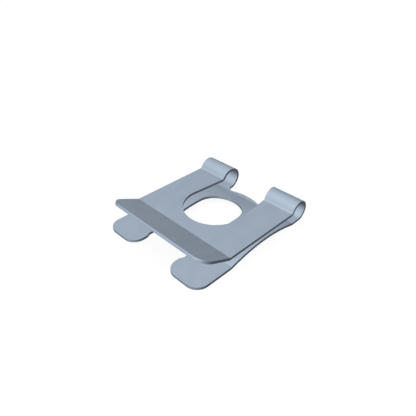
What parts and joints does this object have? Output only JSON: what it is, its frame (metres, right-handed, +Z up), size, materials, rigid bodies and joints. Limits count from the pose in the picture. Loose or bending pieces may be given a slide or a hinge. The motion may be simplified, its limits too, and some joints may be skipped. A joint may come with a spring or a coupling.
{
  "type": "retaining clip",
  "caption": "Folded spring-steel retaining clip: a top leaf with a round hole and raised lip, joined by two rear loops to an arched bottom leaf with a front-open slot.",
  "frame": {"origin": "centre of the pin hole, on the upper face of the top leaf", "axes": "+Z up along the pin axis, square to the top leaf; +Y back to the two loops, so that the lip and the tabs point to -Y; X across the strip, with the clip symmetric about X = 0"},
  "size_m": [0.02, 0.024, 0.0047],
  "materials": {
    "spring_steel": "smooth cold-rolled strip with a pale bluish zinc coat, satin"
  },
  "bodies": {
    "root": {"retaining_clip": "spring_steel"}
  },
  "joints": []
}
